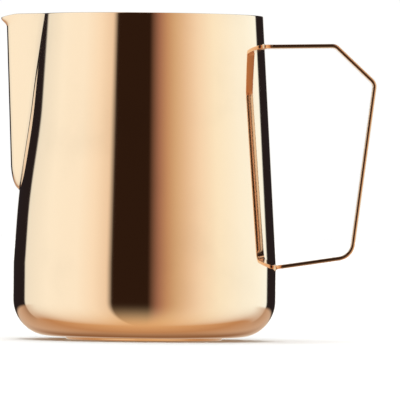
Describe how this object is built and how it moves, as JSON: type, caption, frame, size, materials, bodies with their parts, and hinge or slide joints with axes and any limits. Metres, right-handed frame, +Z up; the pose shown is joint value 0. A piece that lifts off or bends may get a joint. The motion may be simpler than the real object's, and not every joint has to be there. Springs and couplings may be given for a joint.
{
  "type": "milk frothing pitcher",
  "caption": "Straight-sided polished metal steaming jug with a pressed V spout, rounded bottom and an open angular handle of flat strip.",
  "frame": {"origin": "centre of the foot's flat underside, on the jug's axis", "axes": "+Z up along the jug's axis, +X from the spout towards the handle, +Y across the spout and handle plane"},
  "size_m": [0.1274, 0.089, 0.11],
  "materials": {
    "jug_metal": "polished",
    "handle_metal": "polished",
    "weld_metal": "satin"
  },
  "bodies": {
    "root": {"jug_body": "jug_metal", "handle_strip": "handle_metal", "upper_weld": "weld_metal", "lower_weld": "weld_metal"}
  },
  "joints": []
}
